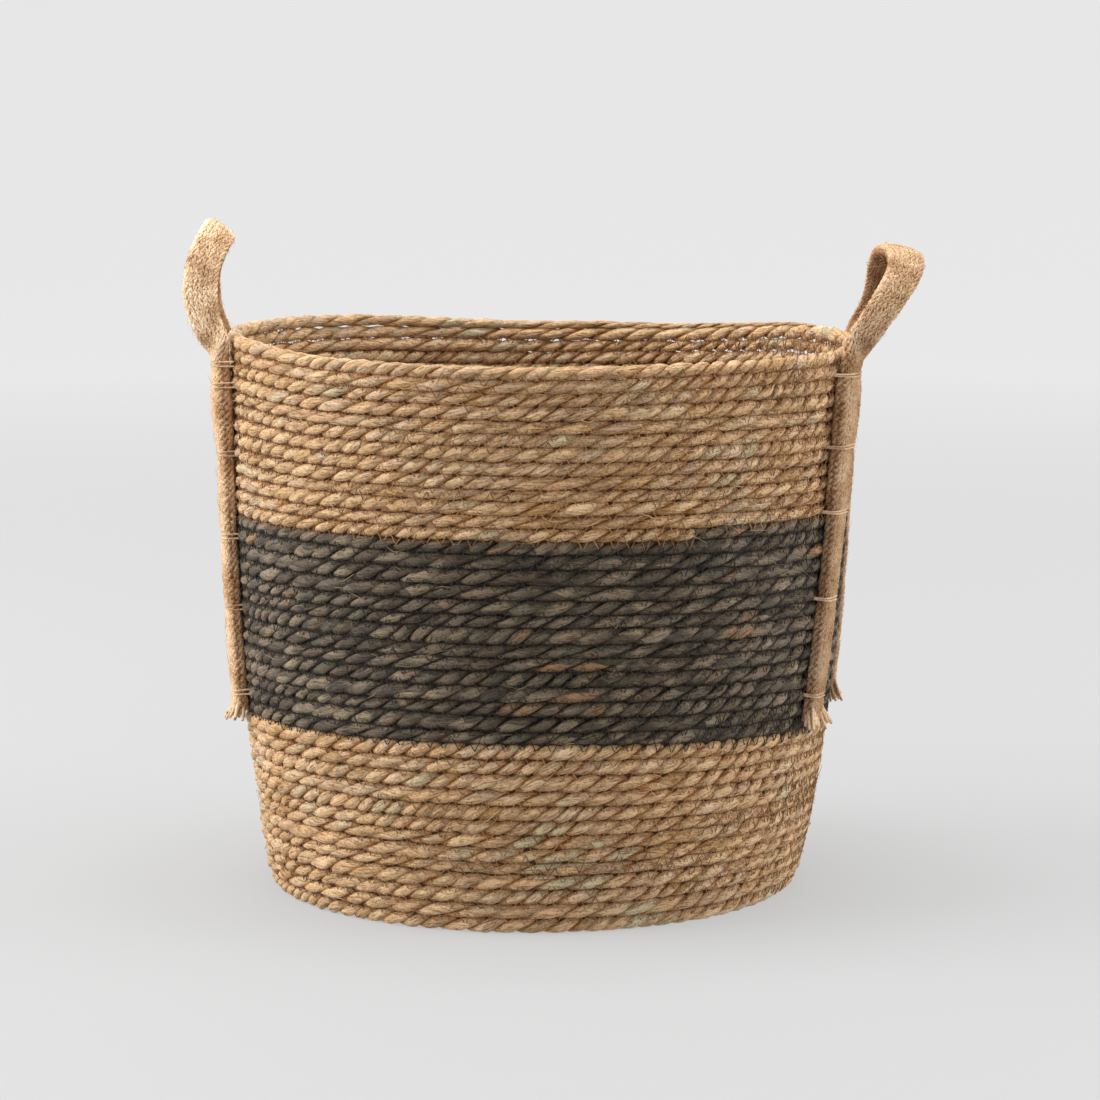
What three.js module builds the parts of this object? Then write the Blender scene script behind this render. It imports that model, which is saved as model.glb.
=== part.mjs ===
// Coiled seagrass storage basket with two jute carrying handles.
//
// Millimetres, +Z up. The origin is the centre of the base, on the floor, and the
// handles stand at -X (left) and +X (right). The wall is twisted seagrass rope, wound
// upwards and sewn course to course: a natural foot, a charcoal band and a natural top
// that ends in the rim course. Each handle is one flat braided jute strap: two legs run
// down the outside of the wall, where twine ties hold them, and the loop between them
// stands above the rim and folds about it.

import * as THREE from "three";

// Basket
const HEIGHT = 346;          // floor to the top of the rim course
const FOOT_RADIUS = 174;     // outside radius at which the wall's curve starts
const FLARE = 46;            // the wall widens by this much over its height,
const SWELL = 20;            // less this much, growing with the height squared
const TUCK = 4;              // the wall draws in by this much at its foot,
const TUCK_HEIGHT = 30;      // fading out over this height
const LEAN = 6.5;            // the rim sits this far towards +X
const ROPE = 9;              // thickness of the rope, so of the wall and the base
const BAND_BOTTOM = 118;     // the charcoal band's lower edge
const BAND_TOP = 241;        // the charcoal band's upper edge
const RIM_COURSE = 8.5;      // height of the top course
const GAP = 0.3;             // clearance between neighbouring pieces
const RING_SIDES = 64;       // facets round the wall
const BAND_SLICES = 4;       // straight stretches in the height of one band of wall

// Handles
const LEG_WIDTH = 19;
const LEG_THICKNESS = 8.5;
const STANDOFF = 2.6;        // how far off the wall the strap stands at the rim,
const STANDOFF_HEIGHT = 45;  // and the height over which it comes back to the wall
const LEG_END = 108;         // height of the legs' frayed lower ends
const FRAY_LENGTH = 16;      // the frayed stretch, which spreads
const FRAY_SPREAD = 1.25;
const LOOP_WIDTH = 21;
const LOOP_THICKNESS = 8;
const TWIST_LENGTH = 36;     // the strap turns a quarter turn over this much of the loop
const FOLD_HEIGHT = HEIGHT;  // the loops fold about the top of the rim
const LEG_STEPS = 36;
const LOOP_STEPS = 40;

// Ties
const TWINE = 1.9;           // thickness of the tying twine
const TIE_WIDTH = 4.2;       // two wraps side by side
const TIED_WIDTH = 15.5;     // the strap pulled in under a tie
const WAIST = 8;             // how far beyond a tie the strap widens again

const DEGREE = Math.PI / 180;

// Azimuths are degrees round from the handle's own side of the basket, negative towards
// the front (-Y). The legs may wander a little on their way down. A loop stands on a
// sheet that leans outwards at its root and differently at its apex, and `shear` brings
// its front limb further out than its back one.
const HANDLES = [
  {
    name: "left",
    side: -1,
    centre: -5.75,
    halfSpan: 9.25,
    wander: { front: 0, back: 1 },
    ties: [334, 278, 226, 181, 125],
    loop: { height: 74, rootLean: 41, apexLean: -33, shear: 0 },
  },
  {
    name: "right",
    side: 1,
    centre: -2.5,
    halfSpan: 17.5,
    wander: { front: -4, back: -6.5 },
    ties: [330, 286, 246, 192, 132],
    loop: { height: 64, rootLean: 42, apexLean: 10, shear: 0.33 },
  },
];

const materials = {
  seagrass: { color: 0xb58a58, roughness: 0.8 },
  charcoal: { color: 0x3f3b36, roughness: 0.8 },
  jute: { color: 0xb08a5f, roughness: 0.95 },
  twine: { color: 0xc39c6a, roughness: 0.9 },
};

const basket = new THREE.Group();

function addPiece(name, geometry, finish) {
  const material = new THREE.MeshStandardMaterial({ ...materials[finish], metalness: 0 });
  const mesh = new THREE.Mesh(geometry, material);
  mesh.name = name;
  basket.add(mesh);
}

// Outside radius of the wall at a height.
function wallRadius(z) {
  const t = z / HEIGHT;
  return FOOT_RADIUS + FLARE * t - SWELL * t * t - TUCK * Math.exp(-z / TUCK_HEIGHT);
}

// Outward tilt of the wall's face at a height, as the radius gained per unit of height.
function wallSlope(z) {
  return (FLARE - 2 * SWELL * (z / HEIGHT)) / HEIGHT;
}

// The whole basket leans: each level is shifted sideways in step with its height.
function leanOver(geometry) {
  const shear = new THREE.Matrix4().makeShear(0, 0, 0, 0, LEAN / HEIGHT, 0);
  return geometry.applyMatrix4(shear);
}

// A ring of wall between two heights. The outline runs up the outside and down the
// inside; `edge` rounds the outside corners off.
function wallRing(bottom, top, edge, slices) {
  const outside = [];
  const inside = [];
  for (let i = 0; i <= slices; i += 1) {
    const z = bottom + (top - bottom) * (i / slices);
    outside.push(new THREE.Vector2(wallRadius(z), z));
    inside.unshift(new THREE.Vector2(wallRadius(z) - ROPE, z));
  }
  outside[0].x -= edge;
  outside.splice(1, 0, new THREE.Vector2(wallRadius(bottom + edge), bottom + edge));
  const profile = [...outside, ...inside, outside[0].clone()];
  const geometry = new THREE.LatheGeometry(profile, RING_SIDES);
  geometry.rotateX(Math.PI / 2);
  return leanOver(geometry);
}

// The rim course: a round rope section, swept round the top of the wall.
function rimRing() {
  const radius = RIM_COURSE / 2;
  const centre = new THREE.Vector2(wallRadius(HEIGHT) - ROPE / 2, HEIGHT - radius);
  const sides = 10;
  const profile = [];
  for (let i = 0; i <= sides; i += 1) {
    const angle = (i % sides) * (2 * Math.PI / sides) + Math.PI / sides;
    const round = radius / Math.cos(Math.PI / sides);
    profile.push(new THREE.Vector2(centre.x + round * Math.cos(angle),
                                   centre.y + radius * Math.sin(angle)));
  }
  const geometry = new THREE.LatheGeometry(profile, RING_SIDES);
  geometry.rotateX(Math.PI / 2);
  return leanOver(geometry);
}

// The base: the coil's flat disc, inside the foot of the wall.
function baseDisc() {
  const radius = wallRadius(0) - ROPE - 1;
  const geometry = new THREE.CylinderGeometry(radius, radius, ROPE, RING_SIDES);
  geometry.rotateX(Math.PI / 2);
  geometry.translate(0, 0, ROPE / 2);
  return leanOver(geometry);
}

// A flat bar with eased edges, two wide and two thick, to be scaled along its length.
function barOutline() {
  const corners = [[1, -0.45], [1, 0.45], [0.72, 1], [-0.72, 1],
                   [-1, 0.45], [-1, -0.45], [-0.72, -1], [0.72, -1]];
  return new THREE.Shape(corners.map(([x, y]) => new THREE.Vector2(x, y)));
}

// A strap along a path: a straight bar of unit length whose cross-sections are carried
// to `path(s)`, which gives a centre, the width and face directions and the two sizes.
function strapGeometry(steps, path) {
  const settings = { depth: 1, steps, bevelEnabled: false };
  const geometry = new THREE.ExtrudeGeometry(barOutline(), settings);
  const position = geometry.attributes.position;
  for (let i = 0; i < position.count; i += 1) {
    const section = path(position.getZ(i));
    const point = section.centre.clone()
      .addScaledVector(section.across, position.getX(i) * section.width / 2)
      .addScaledVector(section.face, position.getY(i) * section.thickness / 2);
    position.setXYZ(i, point.x, point.y, point.z);
  }
  const forward = path(0.51).centre.sub(path(0.49).centre);
  const middle = path(0.5);
  if (middle.across.clone().cross(middle.face).dot(forward) < 0) flipFaces(geometry);
  geometry.computeVertexNormals();
  return geometry;
}

// Turns a geometry's faces over, for a shape that its placing has mirrored.
function flipFaces(geometry) {
  const position = geometry.attributes.position;
  const first = new THREE.Vector3();
  const last = new THREE.Vector3();
  for (let i = 0; i < position.count; i += 3) {
    first.fromBufferAttribute(position, i);
    last.fromBufferAttribute(position, i + 2);
    position.setXYZ(i, last.x, last.y, last.z);
    position.setXYZ(i + 2, first.x, first.y, first.z);
  }
}

// Directions at an azimuth and height on a handle's side of the wall: straight out from
// the wall's face, round the wall, and up along it.
function wallFrame(handle, azimuth, z) {
  const round = azimuth * DEGREE;
  const out = new THREE.Vector3(Math.cos(round) * handle.side, Math.sin(round), 0);
  const across = new THREE.Vector3(0, 0, 1).cross(out);
  const face = out.clone();
  face.z = -wallSlope(z);
  face.normalize();
  const up = face.clone().cross(across);
  return { out, across, face, up };
}

// A point at a distance outside the wall, before the basket's lean.
function outsideWall(handle, azimuth, z, distance) {
  const { out } = wallFrame(handle, azimuth, z);
  return out.multiplyScalar(wallRadius(z) + distance).setZ(z);
}

// Where a leg lies on its way down from the rim to its frayed end.
function legAzimuth(handle, end, z) {
  const top = handle.centre + (end === "front" ? -handle.halfSpan : handle.halfSpan);
  return top + handle.wander[end] * (HEIGHT - z) / (HEIGHT - LEG_END);
}

// How far the middle of the strap's thickness is outside the wall.
function legDistance(z) {
  const rise = Math.max(0, 1 - (HEIGHT - z) / STANDOFF_HEIGHT);
  return GAP + LEG_THICKNESS / 2 + STANDOFF * rise * rise;
}

// The strap's width on a leg: pulled in under each tie, spread where its end is frayed.
function legWidth(handle, z) {
  let width = LEG_WIDTH;
  for (const tie of handle.ties) {
    const beyondTie = Math.max(0, Math.abs(z - tie) - TIE_WIDTH);
    const waist = Math.exp(-((beyondTie / WAIST) ** 2));
    width = Math.min(width, LEG_WIDTH - (LEG_WIDTH - TIED_WIDTH) * waist);
  }
  const frayed = Math.max(0, 1 - (z - LEG_END) / FRAY_LENGTH);
  return width * (1 + (FRAY_SPREAD - 1) * frayed);
}

function legGeometry(handle, end) {
  const top = FOLD_HEIGHT - LEG_THICKNESS / 2 - 4 * GAP;
  const geometry = strapGeometry(LEG_STEPS, (s) => {
    const z = LEG_END + (top - LEG_END) * s;
    const azimuth = legAzimuth(handle, end, z);
    const { across, face } = wallFrame(handle, azimuth, z);
    const centre = outsideWall(handle, azimuth, z, legDistance(z));
    return { centre, across, face, width: legWidth(handle, z), thickness: LEG_THICKNESS };
  });
  return leanOver(geometry);
}

// The fold axis runs level through the tops of a handle's two legs: this far out from
// the middle of the basket, and half this far from leg to leg.
function foldPoint(handle) {
  const radius = wallRadius(FOLD_HEIGHT) + legDistance(FOLD_HEIGHT);
  const half = handle.halfSpan * DEGREE;
  return { reach: radius * Math.cos(half), halfSpan: radius * Math.sin(half) };
}

// The loop is half an ellipse drawn on a sheet that stands on the fold axis and bends:
// its lean changes evenly from the root to the apex.
function loopPoint(handle, turn) {
  const { height, rootLean, apexLean, shear } = handle.loop;
  const fold = foldPoint(handle);
  const climb = height * Math.sin(turn);
  const root = rootLean * DEGREE;
  const bend = (apexLean - rootLean) * DEGREE / height;
  const lean = root + bend * climb;
  const aside = -fold.halfSpan * Math.cos(turn);
  const twistedOut = -shear * aside * (climb / height) ** 2;
  const outwards = (Math.cos(root) - Math.cos(lean)) / bend + twistedOut;
  const rise = (Math.sin(lean) - Math.sin(root)) / bend;
  const { out, back } = handleFrame(handle);
  return out.multiplyScalar(fold.reach + outwards)
    .addScaledVector(back, aside)
    .setZ(FOLD_HEIGHT + rise);
}

// Level directions at the middle of a handle: out from the basket, and to the back.
function handleFrame(handle) {
  const round = handle.centre * DEGREE;
  const out = new THREE.Vector3(Math.cos(round) * handle.side, Math.sin(round), 0);
  const back = new THREE.Vector3(-out.y, out.x, 0).multiplyScalar(handle.side);
  return { out, back };
}

function loopSection(handle, turn, thicknessScale) {
  const { height, rootLean, apexLean } = handle.loop;
  const step = 0.002;
  const centre = loopPoint(handle, turn);
  const along = loopPoint(handle, turn + step).sub(loopPoint(handle, turn - step));
  along.normalize();
  const climb = height * Math.sin(turn);
  const lean = (rootLean + (apexLean - rootLean) * climb / height) * DEGREE;
  const sheetNormal = handleFrame(handle).out.multiplyScalar(Math.cos(lean));
  sheetNormal.z = -Math.sin(lean);
  const outwards = sheetNormal.addScaledVector(along, -sheetNormal.dot(along)).normalize();
  const away = outwards.clone().cross(along).multiplyScalar(handle.side);
  const twisted = Math.min(1, climb / TWIST_LENGTH);
  const turned = (1 - twisted * twisted * (3 - 2 * twisted)) * Math.PI / 2;
  const face = outwards.clone().multiplyScalar(Math.sin(turned))
    .addScaledVector(away, Math.cos(turned));
  const across = outwards.clone().multiplyScalar(Math.cos(turned))
    .addScaledVector(away, -Math.sin(turned));
  const width = THREE.MathUtils.lerp(LEG_WIDTH, LOOP_WIDTH, twisted);
  const thickness = THREE.MathUtils.lerp(LEG_THICKNESS, LOOP_THICKNESS, twisted);
  return { centre, along, across, face, width, thickness: thickness * thicknessScale };
}

// The loop's ends are rounded about the fold axis, so that they turn clear of the legs.
function loopGeometry(handle) {
  const knuckle = LEG_THICKNESS / 2;
  const share = 1 / LOOP_STEPS;
  const geometry = strapGeometry(LOOP_STEPS, (s) => {
    const inner = THREE.MathUtils.clamp((s - share) / (1 - 2 * share), 0, 1);
    const beyond = Math.max(0, share - s, s - 1 + share) / share;
    const section = loopSection(handle, inner * Math.PI, 1 - 0.6 * beyond);
    const onwards = (s < 0.5 ? -1 : 1) * beyond * knuckle * 0.9;
    section.centre.addScaledVector(section.along, onwards);
    return section;
  });
  return leanOver(geometry);
}

// A tie: two wraps of twine in one staple shape round the strap, its ends at the wall.
function tieGeometry(handle, end, z) {
  const inner = legWidth(handle, z) / 2 + GAP;
  const outer = inner + TWINE;
  const depth = legDistance(z) + LEG_THICKNESS / 2 + 2 * GAP;
  const corner = 3;
  const outline = new THREE.Shape();
  outline.moveTo(outer, GAP);
  outline.lineTo(outer, depth + TWINE - corner);
  outline.lineTo(outer - corner, depth + TWINE);
  outline.lineTo(corner - outer, depth + TWINE);
  outline.lineTo(-outer, depth + TWINE - corner);
  outline.lineTo(-outer, GAP);
  outline.lineTo(-inner, GAP);
  outline.lineTo(-inner, depth - 1);
  outline.lineTo(1 - inner, depth);
  outline.lineTo(inner - 1, depth);
  outline.lineTo(inner, depth - 1);
  outline.lineTo(inner, GAP);
  const settings = { depth: TIE_WIDTH, steps: 1, bevelEnabled: false };
  const geometry = new THREE.ExtrudeGeometry(outline, settings);
  geometry.translate(0, 0, -TIE_WIDTH / 2);
  const azimuth = legAzimuth(handle, end, z);
  const { across, face, up } = wallFrame(handle, azimuth, z);
  const place = new THREE.Matrix4().makeBasis(across, face, up.negate());
  place.setPosition(outsideWall(handle, azimuth, z, 0));
  return leanOver(geometry.applyMatrix4(place));
}

addPiece("base_coil", baseDisc(), "seagrass");
addPiece("lower_wall", wallRing(0, BAND_BOTTOM - GAP, 4, BAND_SLICES), "seagrass");
addPiece("charcoal_band", wallRing(BAND_BOTTOM, BAND_TOP - GAP, 0.6, BAND_SLICES), "charcoal");
addPiece("upper_wall", wallRing(BAND_TOP, HEIGHT - RIM_COURSE - GAP, 0.6, BAND_SLICES), "seagrass");
addPiece("rim_course", rimRing(), "seagrass");

for (const handle of HANDLES) {
  addPiece(`${handle.name}_handle_loop`, loopGeometry(handle), "jute");
  for (const end of ["front", "back"]) {
    addPiece(`${handle.name}_${end}_leg`, legGeometry(handle, end), "jute");
    handle.ties.forEach((z, i) => {
      addPiece(`${handle.name}_${end}_tie_${i + 1}`, tieGeometry(handle, end, z), "twine");
    });
  }
}

export default basket;
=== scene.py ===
"""A round seagrass storage basket: one coiled rope in natural, charcoal and natural again,
zigzag stitched, with a braided jute strap handle on each side, tied on with twine.
Sizes are in millimetres until a mesh is made; the basket stands on z = 0, front towards -Y.
"""
import math

import bpy
import numpy as np
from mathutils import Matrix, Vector


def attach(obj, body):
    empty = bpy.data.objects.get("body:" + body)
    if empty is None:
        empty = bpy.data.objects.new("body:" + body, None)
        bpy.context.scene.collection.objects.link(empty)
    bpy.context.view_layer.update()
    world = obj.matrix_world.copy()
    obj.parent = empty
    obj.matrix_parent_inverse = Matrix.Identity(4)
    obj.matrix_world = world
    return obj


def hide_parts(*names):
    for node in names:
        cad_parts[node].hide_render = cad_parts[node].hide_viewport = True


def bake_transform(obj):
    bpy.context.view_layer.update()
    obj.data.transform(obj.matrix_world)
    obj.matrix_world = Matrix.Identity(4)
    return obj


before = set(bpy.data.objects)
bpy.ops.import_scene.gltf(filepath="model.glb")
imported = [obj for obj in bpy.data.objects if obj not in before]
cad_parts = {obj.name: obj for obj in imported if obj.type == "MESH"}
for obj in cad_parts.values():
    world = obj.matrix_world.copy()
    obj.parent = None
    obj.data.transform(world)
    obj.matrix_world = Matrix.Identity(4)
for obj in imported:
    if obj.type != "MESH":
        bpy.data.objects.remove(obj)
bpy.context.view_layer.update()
scene = bpy.context.scene

# Camera: at the photograph's viewing angle.
CAMERA_TURN = math.radians(2.5)
CAMERA_PITCH = math.radians(7.48)
CAMERA_SIDE, CAMERA_BACK, CAMERA_HEIGHT = 0.011, 2.358, 0.5203
CAMERA_LENS = 121.7

# Light, in metres and watts: name, place, aim, size and power of each soft box.
LIGHTS = [("key", (-2.1, -0.30, 1.35), (0, 0, 0.15), (2.1, 2.0), 76),
          ("fill", (2.3, 0.0, 1.1), (0, 0, 0.15), (1.6, 1.5), 38),
          ("top", (0.0, 0.1, 2.3), (0, 0, 0.0), (1.4, 1.4), 44)]
WORLD_LIGHT = 0.54
# The floor: how much light it returns, and a glow that grows with distance, in metres.
FLOOR_GREY = 0.14
GLOW_NEAR, GLOW_FAR = (0.4, 0.453), (3.9, 0.685)

# Wall: the same profile as the CAD wall.
HEIGHT, FOOT_RADIUS, FLARE, SWELL, TUCK, TUCK_HEIGHT = 346.0, 174.0, 46.0, 20.0, 4.0, 30.0
LEAN = 6.5
BAND_BOTTOM, BAND_TOP = 118.0, 241.0

# Coil: where each turn of the rope lies, and its twist. A course is one turn, counted
# from the floor at the front; the coil's own turns start at COIL_START, in degrees.
COURSES, BAND_FIRST, BAND_LAST = 40, 12.62, 26.62
TURNS = 40.3
COIL_START = 135.0
LOWER_SWITCH, UPPER_SWITCH = 13.208, 27.539
ROPE, COURSE = 9.0, 8.65
ROPE_STEP, BASE_STEP = 2.5, 2.8
ROPE_INSET = 4.75
TWIST_PITCH = 33.5
PLY_REACH, PLY_FLATNESS, PLY_JITTER = 4.85, 0.15, 0.28
GROOVE_DEPTH, GROOVE_WIDTH = 1.95, 15.0
PLY_ANGLES = np.array([-90, -77, -52, -18, 18, 52, 77, 90, 103, 128, 162, 198, 232, 257.0])
# Painted shade on the plies: darkest at HOLLOW_RADIUS, and none from CREST_RADIUS out.
HOLLOW_RADIUS, CREST_RADIUS = 2.3, 4.1  # where a ply's colour is darkest and fully light
BLADE_SLANT = -19.0  # how steeply the seagrass blades wind round the rope, in the grain UV
SECOND_PLY = 3.7  # shift of the second ply's grain, so that its blades are others

# Stitching: a zigzag of thread over each seam, and a dark strip in it as painted shade.
STITCH_PERIOD, STITCH_SPAN, THREAD = 9.6, 7.8, 0.30
STITCH_OUTSIDE, STITCH_INSIDE = 0.35, 9.1  # depths in from the wall's outer face
CORE_HEIGHT, CORE_THICKNESS, CORE_TOP = 1.9, 0.8, 38.1

# Handles: azimuths in degrees from the handle's own side, negative to the front. `full`
# is the stretch over which a front leg fills out on its way up, from `leg` to `top` wide.
LEG_END, LEG_THICKNESS = 108.0, 9.4
TOP_THICKNESS, BACK_THICKNESS, PRESS = 10.4, 7.4, 0.9
ROOT_WIDTH, LOOP_THICKNESS = 17.5, 9.6
STANDOFF, STANDOFF_HEIGHT = 2.6, 45.0
BOW_HEIGHT, BOW_REACH = 309.0, 19.0
TWIST_START, TWIST_LENGTH = 336.0, 22.0
CAD_STANDOFF = 4.55
SECTION_COUNT, COLUMNS, STRAP_STEP = 84, 7, 0.8
YARN_STEP, YARN_SLANT, YARN_RELIEF = 4.3, 1.6, 1.0
HAIR_COUNT = 3200
TASSEL_YARNS = 22
TWINE, WRAP_GAP = 0.55, 0.95  # radius of the twine, and half the step between two wraps
HANDLES = {
    "left": dict(side=-1, centre=-5.75, half=9.25, wander=dict(front=0.0, back=1.0),
                 ties=[334, 278, 226, 181, 127], full=(272, 300), leg=18.6, top=20.5,
                 width=21.5, bow=1.6,
                 loop=dict(height=73.5, root=37.0, apex=-36.0, shear=0.0, spread=36.0)),
    "right": dict(side=1, centre=-2.5, half=17.5, wander=dict(front=-4.0, back=-6.5),
                  ties=[330, 286, 246, 192, 132], full=(232, 258), leg=17.2, top=27.5,
                  width=25.5, bow=1.0,
                  loop=dict(height=61.5, root=38.0, apex=12.0, shear=0.30, spread=95.0)),
}


def smooth(t):
    t = np.clip(t, 0, 1)
    return t * t * (3 - 2 * t)


def wobble(s, length, seed):
    """Smooth noise along s, about -1 to 1, that changes over `length`."""
    values = np.random.default_rng(seed).uniform(-1, 1, int(np.max(s) / length) + 3)
    place = np.asarray(s) / length
    index = np.floor(place).astype(int)
    share = smooth(place - index)
    return values[index] * (1 - share) + values[index + 1] * share


def wall_radius(z):
    t = z / HEIGHT
    return FOOT_RADIUS + FLARE * t - SWELL * t * t - TUCK * np.exp(-z / TUCK_HEIGHT)


def wall_slope(z):
    return (FLARE - 2 * SWELL * z / HEIGHT) / HEIGHT


# ---------------------------------------------------------------- meshes

def make_mesh(name, points, quads, caps=(), material=None, uvs=None, values=None):
    """A smooth-shaded mesh object. uvs is {layer: (corners, 2)}, values is {name: per point}."""
    mesh = bpy.data.meshes.new(name)
    mesh.vertices.add(len(points))
    mesh.vertices.foreach_set("co", (np.asarray(points) * 0.001).astype(np.float32).ravel())
    corners = np.concatenate([quads.ravel(), *[np.asarray(c) for c in caps]]).astype(np.int32)
    counts = np.concatenate([np.full(len(quads), quads.shape[1]), [len(c) for c in caps]])
    starts = np.concatenate([[0], np.cumsum(counts)[:-1]]).astype(np.int32)
    mesh.loops.add(len(corners))
    mesh.loops.foreach_set("vertex_index", corners)
    mesh.polygons.add(len(counts))
    mesh.polygons.foreach_set("loop_start", starts)
    mesh.update(calc_edges=True)
    mesh.polygons.foreach_set("use_smooth", np.ones(len(counts), bool))
    for layer, uv in (uvs or {}).items():
        full = np.zeros((len(corners), 2), np.float32)
        full[:len(uv)] = uv
        mesh.uv_layers.new(name=layer).data.foreach_set("uv", full.ravel())
    for attribute, value in (values or {}).items():
        layer = mesh.attributes.new(attribute, "FLOAT", "POINT")
        layer.data.foreach_set("value", np.asarray(value, np.float32).ravel())
    thing = bpy.data.objects.new(name, mesh)
    scene.collection.objects.link(thing)
    if material:
        mesh.materials.append(material)
    return thing


def ring_quads(rows, sides, first=0):
    """The quads of a closed-section tube of `rows` rings of `sides` points."""
    i, j = np.meshgrid(np.arange(rows - 1), np.arange(sides), indexing="ij")
    k = (j + 1) % sides
    quads = np.stack([i * sides + j, i * sides + k, (i + 1) * sides + k, (i + 1) * sides + j], -1)
    return quads.reshape(-1, 4) + first


def strip_uvs(rows, sides, strips, along=None):
    """Corner UVs of ring_quads: OFBake folds the tube into strips that fill the square,
    and grain runs along the tube in x and round it in y."""
    i, j = np.meshgrid(np.arange(rows - 1), np.arange(sides), indexing="ij")
    per = math.ceil((rows - 1) / strips)
    row, column = i // per, i % per
    margin = 0.06
    low, high = column / per, (column + 1) / per
    bottom = (row + margin + (1 - 2 * margin) * j / sides) / strips
    top = (row + margin + (1 - 2 * margin) * (j + 1) / sides) / strips
    bake = np.stack([low, bottom, low, top, high, top, high, bottom], -1).reshape(-1, 2)
    if along is None:
        return {"OFBake": bake}
    ply = SECOND_PLY * (j >= sides // 2)
    a, b = along[i] + ply, along[i + 1] + ply
    v0, v1 = j / sides, (j + 1) / sides
    grain = np.stack([a, v0, a, v1, b, v1, b, v0], -1).reshape(-1, 2)
    return {"OFBake": bake, "grain": grain}


# ---------------------------------------------------------------- materials

class Nodes:
    """A material's nodes, added one at a time."""

    def __init__(self, name):
        self.material = bpy.data.materials.new(name)
        self.material.use_nodes = True
        self.tree = self.material.node_tree
        self.shader = next(n for n in self.tree.nodes if n.type == "BSDF_PRINCIPLED")

    def add(self, kind, values=None, **settings):
        node = self.tree.nodes.new("ShaderNode" + kind)
        for key, value in settings.items():
            setattr(node, key, value)
        for key, value in (values or {}).items():
            self.set(node.inputs[key], value)
        return node

    def set(self, socket, value):
        if isinstance(value, bpy.types.NodeSocket):
            self.tree.links.new(value, socket)
        else:
            socket.default_value = value

    def maths(self, operation, a, b=0.0, c=0.0):
        return self.add("Math", {0: a, 1: b, 2: c}, operation=operation).outputs[0]

    def mix(self, share, a, b, blend="MIX"):
        node = self.add("Mix", data_type="RGBA", blend_type=blend)
        self.set(node.inputs[0], share)
        self.set(node.inputs[6], a)
        self.set(node.inputs[7], b)
        return node.outputs[2]

    def ramp(self, share, stops):
        node = self.add("ValToRGB", {0: share})
        while len(node.color_ramp.elements) < len(stops):
            node.color_ramp.elements.new(0.5)
        for element, (place, colour) in zip(node.color_ramp.elements, stops):
            element.position = place
            element.color = colour
        return node.outputs[0]

    def noise(self, vector, scale, detail=2.0, roughness=0.5):
        node = self.add("TexNoise", {"Vector": vector, "Scale": scale, "Detail": detail,
                                     "Roughness": roughness})
        return node.outputs[0]

    def value(self, name):
        return self.add("Attribute", attribute_name=name).outputs["Fac"]

    def stretched(self, name, scale, skew):
        """A UV layer's coordinates times scale, the second leaning along the first."""
        uv = self.add("UVMap", uv_map=name).outputs[0]
        parts = self.add("SeparateXYZ", {0: uv})
        x = self.maths("MULTIPLY", parts.outputs[0], scale[0])
        y = self.maths("MULTIPLY", parts.outputs[1], scale[1])
        y = self.maths("MULTIPLY_ADD", parts.outputs[0], skew, y)
        return self.add("CombineXYZ", {0: x, 1: y}).outputs[0]


def grey(value):
    return (value, value, value, 1)


def srgb(*levels):
    """Linear colour from 0-255 levels as seen on screen."""
    linear = [((c / 255 + 0.055) / 1.055) ** 2.4 if c > 10 else c / 255 / 12.92 for c in levels]
    return (*linear, 1)


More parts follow.
